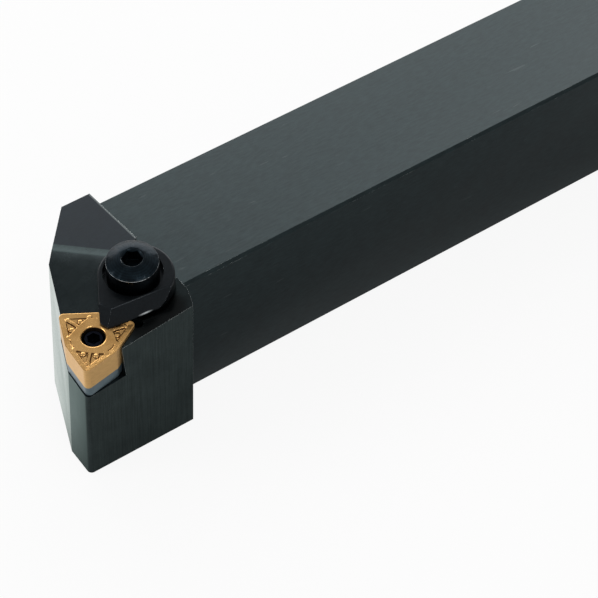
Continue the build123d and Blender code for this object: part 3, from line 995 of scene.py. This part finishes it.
def former_height(point):
    """Height of the rake face at a point of the insert, in millimetres."""
    x, y = point
    margin = inside_edge(x, y)
    down_band = min(1.0, max(0.0, (margin - EDGE_LAND) / (BAND_WIDTH - EDGE_LAND)))
    band = down_band * BAND_DROP
    sunk = band + rise(margin, *GROOVE_WALL) * (GROOVE_DEPTH - BAND_DROP)
    raised = max(rise(inside_island(x, y, margin), *ISLAND_WALL), dome_height(x, y))
    into_rim = min(RIM_RADIUS, max(0.0, HOLE_RADIUS + RIM_RADIUS - math.hypot(x, y)))
    rim = RIM_RADIUS - math.sqrt(max(0.0, RIM_RADIUS**2 - into_rim**2))
    honed = HONE_DEPTH * (1 - rise(margin, 0, HONE_WIDTH))
    return -sunk * (1 - raised) - rim - honed


print("groove:", round(former_height((4.6, 0.9)), 3), "island:", round(former_height((2.6, 0.0)), 3))

# %% [markdown]
# The sheet starts as two loops of edges, the outline and the hole, with as many points each. A
# grid would cut across the outline, while a bridge between the loops follows both, and its
# rings lie close together everywhere. An open sheet has no inside, so Blender can leave it face
# down, and then it is turned over.

# %% Rake face
BRIDGE_RINGS = 58


def ring_of(points, name):
    """A closed loop of edges through the given points, in millimetres, at height 0."""
    bpy.ops.object.select_all(action="DESELECT")
    bpy.ops.mesh.primitive_circle_add(vertices=len(points), radius=1)
    ring = bpy.context.object
    ring.name = name
    for vertex, point in zip(ring.data.vertices, points):
        vertex.co = (point[0], point[1], 0)
    return ring


insert = ring_of(outline, "trigon_insert")
merge_into(insert, ring_of([point.normalized() * HOLE_RADIUS for point in outline], "hole"))
bpy.ops.object.mode_set(mode="EDIT")
bpy.ops.mesh.select_mode(type="EDGE")
bpy.ops.mesh.select_all(action="SELECT")
bpy.ops.mesh.bridge_edge_loops(number_cuts=BRIDGE_RINGS, interpolation="LINEAR")
bpy.ops.mesh.select_all(action="SELECT")
bpy.ops.mesh.normals_make_consistent(inside=False)
bpy.ops.object.mode_set(mode="OBJECT")
if insert.data.polygons[0].normal.z < 0:
    insert.data.flip_normals()
print("rake face:", len(insert.data.polygons), "faces")

# %% [markdown]
# Each point of the sheet gets its height. The sheet's two rims are then drawn down to the
# insert's middle, and a mirror adds the other side, because such an insert is turned over when
# its first side is worn.

# %% Heights, walls and the other side
SEAM = 0.001

mesh = insert.data
for vertex in mesh.vertices:
    vertex.co.z = former_height(vertex.co.xy)
bpy.ops.object.mode_set(mode="EDIT")
bpy.ops.mesh.select_mode(type="EDGE")
bpy.ops.mesh.select_all(action="SELECT")
bpy.ops.mesh.region_to_loop()
bpy.ops.mesh.extrude_edges_move()
bpy.ops.object.mode_set(mode="OBJECT")
for vertex in mesh.vertices:
    if vertex.select:
        vertex.co.z = -HALF_THICKNESS
middle = bpy.data.objects.new("insert_middle", None)
middle.location.z = -HALF_THICKNESS
bpy.context.scene.collection.objects.link(middle)
bpy.context.view_layer.update()
mirrored = insert.modifiers.new("other_side", "MIRROR")
mirrored.use_axis = (False, False, True)
mirrored.mirror_object = middle
mirrored.merge_threshold = SEAM
alone(insert)
bpy.ops.object.modifier_apply(modifier="other_side")
bpy.data.objects.remove(middle)
bpy.ops.object.mode_set(mode="EDIT")
bpy.ops.mesh.select_all(action="SELECT")
bpy.ops.mesh.normals_make_consistent(inside=False)
bpy.ops.object.mode_set(mode="OBJECT")
print("insert:", len(mesh.polygons), "faces")

# %% [markdown]
# The steep walls of the chip former are painted darker, as shade, while the plateau and the edge
# are not. How steep the surface is at each point is kept in an attribute, so that the material
# can read it. The round rims of the hole and of the edge are left out of the painted shade, so
# they count as flat.

# %% How steep each point is
UNSHADED_RIM = HOLE_RADIUS + RIM_RADIUS + 0.05
UNSHADED_EDGE = 0.1
INSERT_SMOOTH = 40

steepness = mesh.attributes.new("steepness", "FLOAT", "POINT")
# Painted shade: the steeper a point, the darker its copper. The rims are left unshaded.
for vertex in mesh.vertices:
    unshaded = vertex.co.xy.length < UNSHADED_RIM or inside_edge(*vertex.co.xy) < UNSHADED_EDGE
    steepness.data[vertex.index].value = 0 if unshaded else 1 - abs(vertex.normal.z)
mesh.transform(insert_frame @ Matrix.Scale(MM, 4))
bpy.ops.object.shade_smooth_by_angle(angle=math.radians(INSERT_SMOOTH))
print("steep points:", sum(item.value > 0.2 for item in steepness.data), "of", len(mesh.vertices))

# %% [markdown]
# The coating is a thin copper gold film. It has a satin grain from the pressed powder and a
# cloudy tint. The flanks are ground, so they carry faint lines along the edge, and the hole is
# hardly coated at all, so it stays dark.

# %% Insert coating
COPPER = (0.58, 0.315, 0.098)
COPPER_PALE = (0.83, 0.490, 0.182)
STEEP_SHADE_COPPER = (0.13, 0.06, 0.020)
FLANK_COPPER = (0.66, 0.385, 0.135)
FLANK_PALE = (0.80, 0.50, 0.20)
BORE_DARK = (0.03, 0.018, 0.010)
BORE_PALE = (0.10, 0.06, 0.03)
FLANK_GRAIN = (1.0, 1.0, 7.0)
STEEP_RANGE = (0.09, 0.36)

coating = Paint("insert_coating")
grain = coating.noise(5200, 3, 0.6)
tint = (grain * 0.4 + coating.noise(300, 3) * 0.6).ramp(0.3, 0.7)
steep = coating.node("ShaderNodeAttribute", {"attribute_name": "steepness"}).out("Fac")
# Painted shade on the steep walls of the chip former.
steep_shade = steep.ramp(*STEEP_RANGE)
unshaded_copper = coating.mix(tint, COPPER, COPPER_PALE)
coating.set(Base_Color=coating.mix(steep_shade, unshaded_copper, STEEP_SHADE_COPPER), Metallic=0.92)
coating.set(Roughness=grain * 0.12 + steep_shade * 0.06 + 0.15)
coating.bump(grain * 0.2 + coating.noise(1500, 2) * 0.8, 0.04 * MM)
flank_coating = Paint("flank_coating")
ground = flank_coating.noise(1500, 3, 0.6, flank_coating.stretch(FLANK_GRAIN))
flank_coating.set(Base_Color=flank_coating.mix(ground.ramp(0.3, 0.7), FLANK_COPPER, FLANK_PALE))
flank_coating.set(Metallic=0.85, Roughness=ground * 0.15 + 0.32)
flank_coating.bump(ground, 0.003 * MM)
bore_coating = worn("bore_coating", BORE_DARK, BORE_PALE, 0.55, 0.45)
finish_with(insert, coating, flank_coating, bore_coating)

# %% [markdown]
# The insert's upright faces are its flanks and the hole. They are told apart by their distance
# from the insert's axis.

# %% Finish the insert
FLANK_LEAN = 0.3
BORE_REACH = (HOLE_RADIUS + 0.05) * MM

cover(insert, flank_coating, lambda at, normal: abs(normal.dot(seat_normal)) < FLANK_LEAN)
cover(insert, bore_coating, lambda at, normal: (to_insert @ at).xy.length < BORE_REACH, flank_coating)
stand_for(insert, "insert", "holder")

# %% [markdown]
# ## The spring
# A coil spring lies hidden under the clamp, round its screw, and lifts the clamp off the insert
# when the screw is slackened. It could be spun from a circle, but a curve with a round section
# is simpler, and its ends are capped. It is made a mesh at the end.

# %% Spring
COIL_TURNS = 4
COIL_STEPS = 36
COIL_RADIUS = 3.15 * MM
WIRE_RADIUS = 0.39 * MM
COIL_LOW = -7.9 * MM
COIL_HIGH = -1.86 * MM
WIRE_SMOOTH = 40


def coil_point(share):
    """A point of the coil, by its share of the coil's length."""
    around = share * COIL_TURNS * math.tau
    height = COIL_LOW + share * (COIL_HIGH - COIL_LOW)
    return screw_frame @ Vector((COIL_RADIUS * math.cos(around), COIL_RADIUS * math.sin(around), height))


steps = COIL_TURNS * COIL_STEPS
coil_curve = bpy.data.curves.new("coil", "CURVE")
coil_curve.dimensions = "3D"
coil_line = coil_curve.splines.new("POLY")
coil_line.points.add(steps)
for i, point in enumerate(coil_line.points):
    point.co = (*coil_point(i / steps), 1)
coil_curve.bevel_depth = WIRE_RADIUS
coil_curve.bevel_resolution = 3
coil_curve.use_fill_caps = True
spring = bpy.data.objects.new("coil_spring", coil_curve)
bpy.context.scene.collection.objects.link(spring)
alone(spring)
bpy.ops.object.convert(target="MESH")
bpy.ops.object.shade_smooth_by_angle(angle=math.radians(WIRE_SMOOTH))
print("spring:", len(spring.data.polygons), "faces")

# %% [markdown]
# Spring wire is drawn through a die, so it is plain steel with a soft, even cloud. The spring's
# foot stands on the holder and its top carries the clamp. It rides on neither body, so it keeps
# its place.

# %% Spring finish
WIRE_DARK = (0.3, 0.3, 0.31)
WIRE_LIGHT = (0.45, 0.45, 0.46)

spring_steel = Paint("spring_steel")
drawn = spring_steel.noise(1800, 3)
spring_steel.set(Base_Color=spring_steel.mix(drawn, WIRE_DARK, WIRE_LIGHT), Metallic=1.0)
spring_steel.set(Roughness=drawn * 0.15 + 0.25)
spring_steel.bump(drawn, 0.002 * MM)
finish_with(spring, spring_steel)
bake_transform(spring)
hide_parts("clamp_spring")

# %% [markdown]
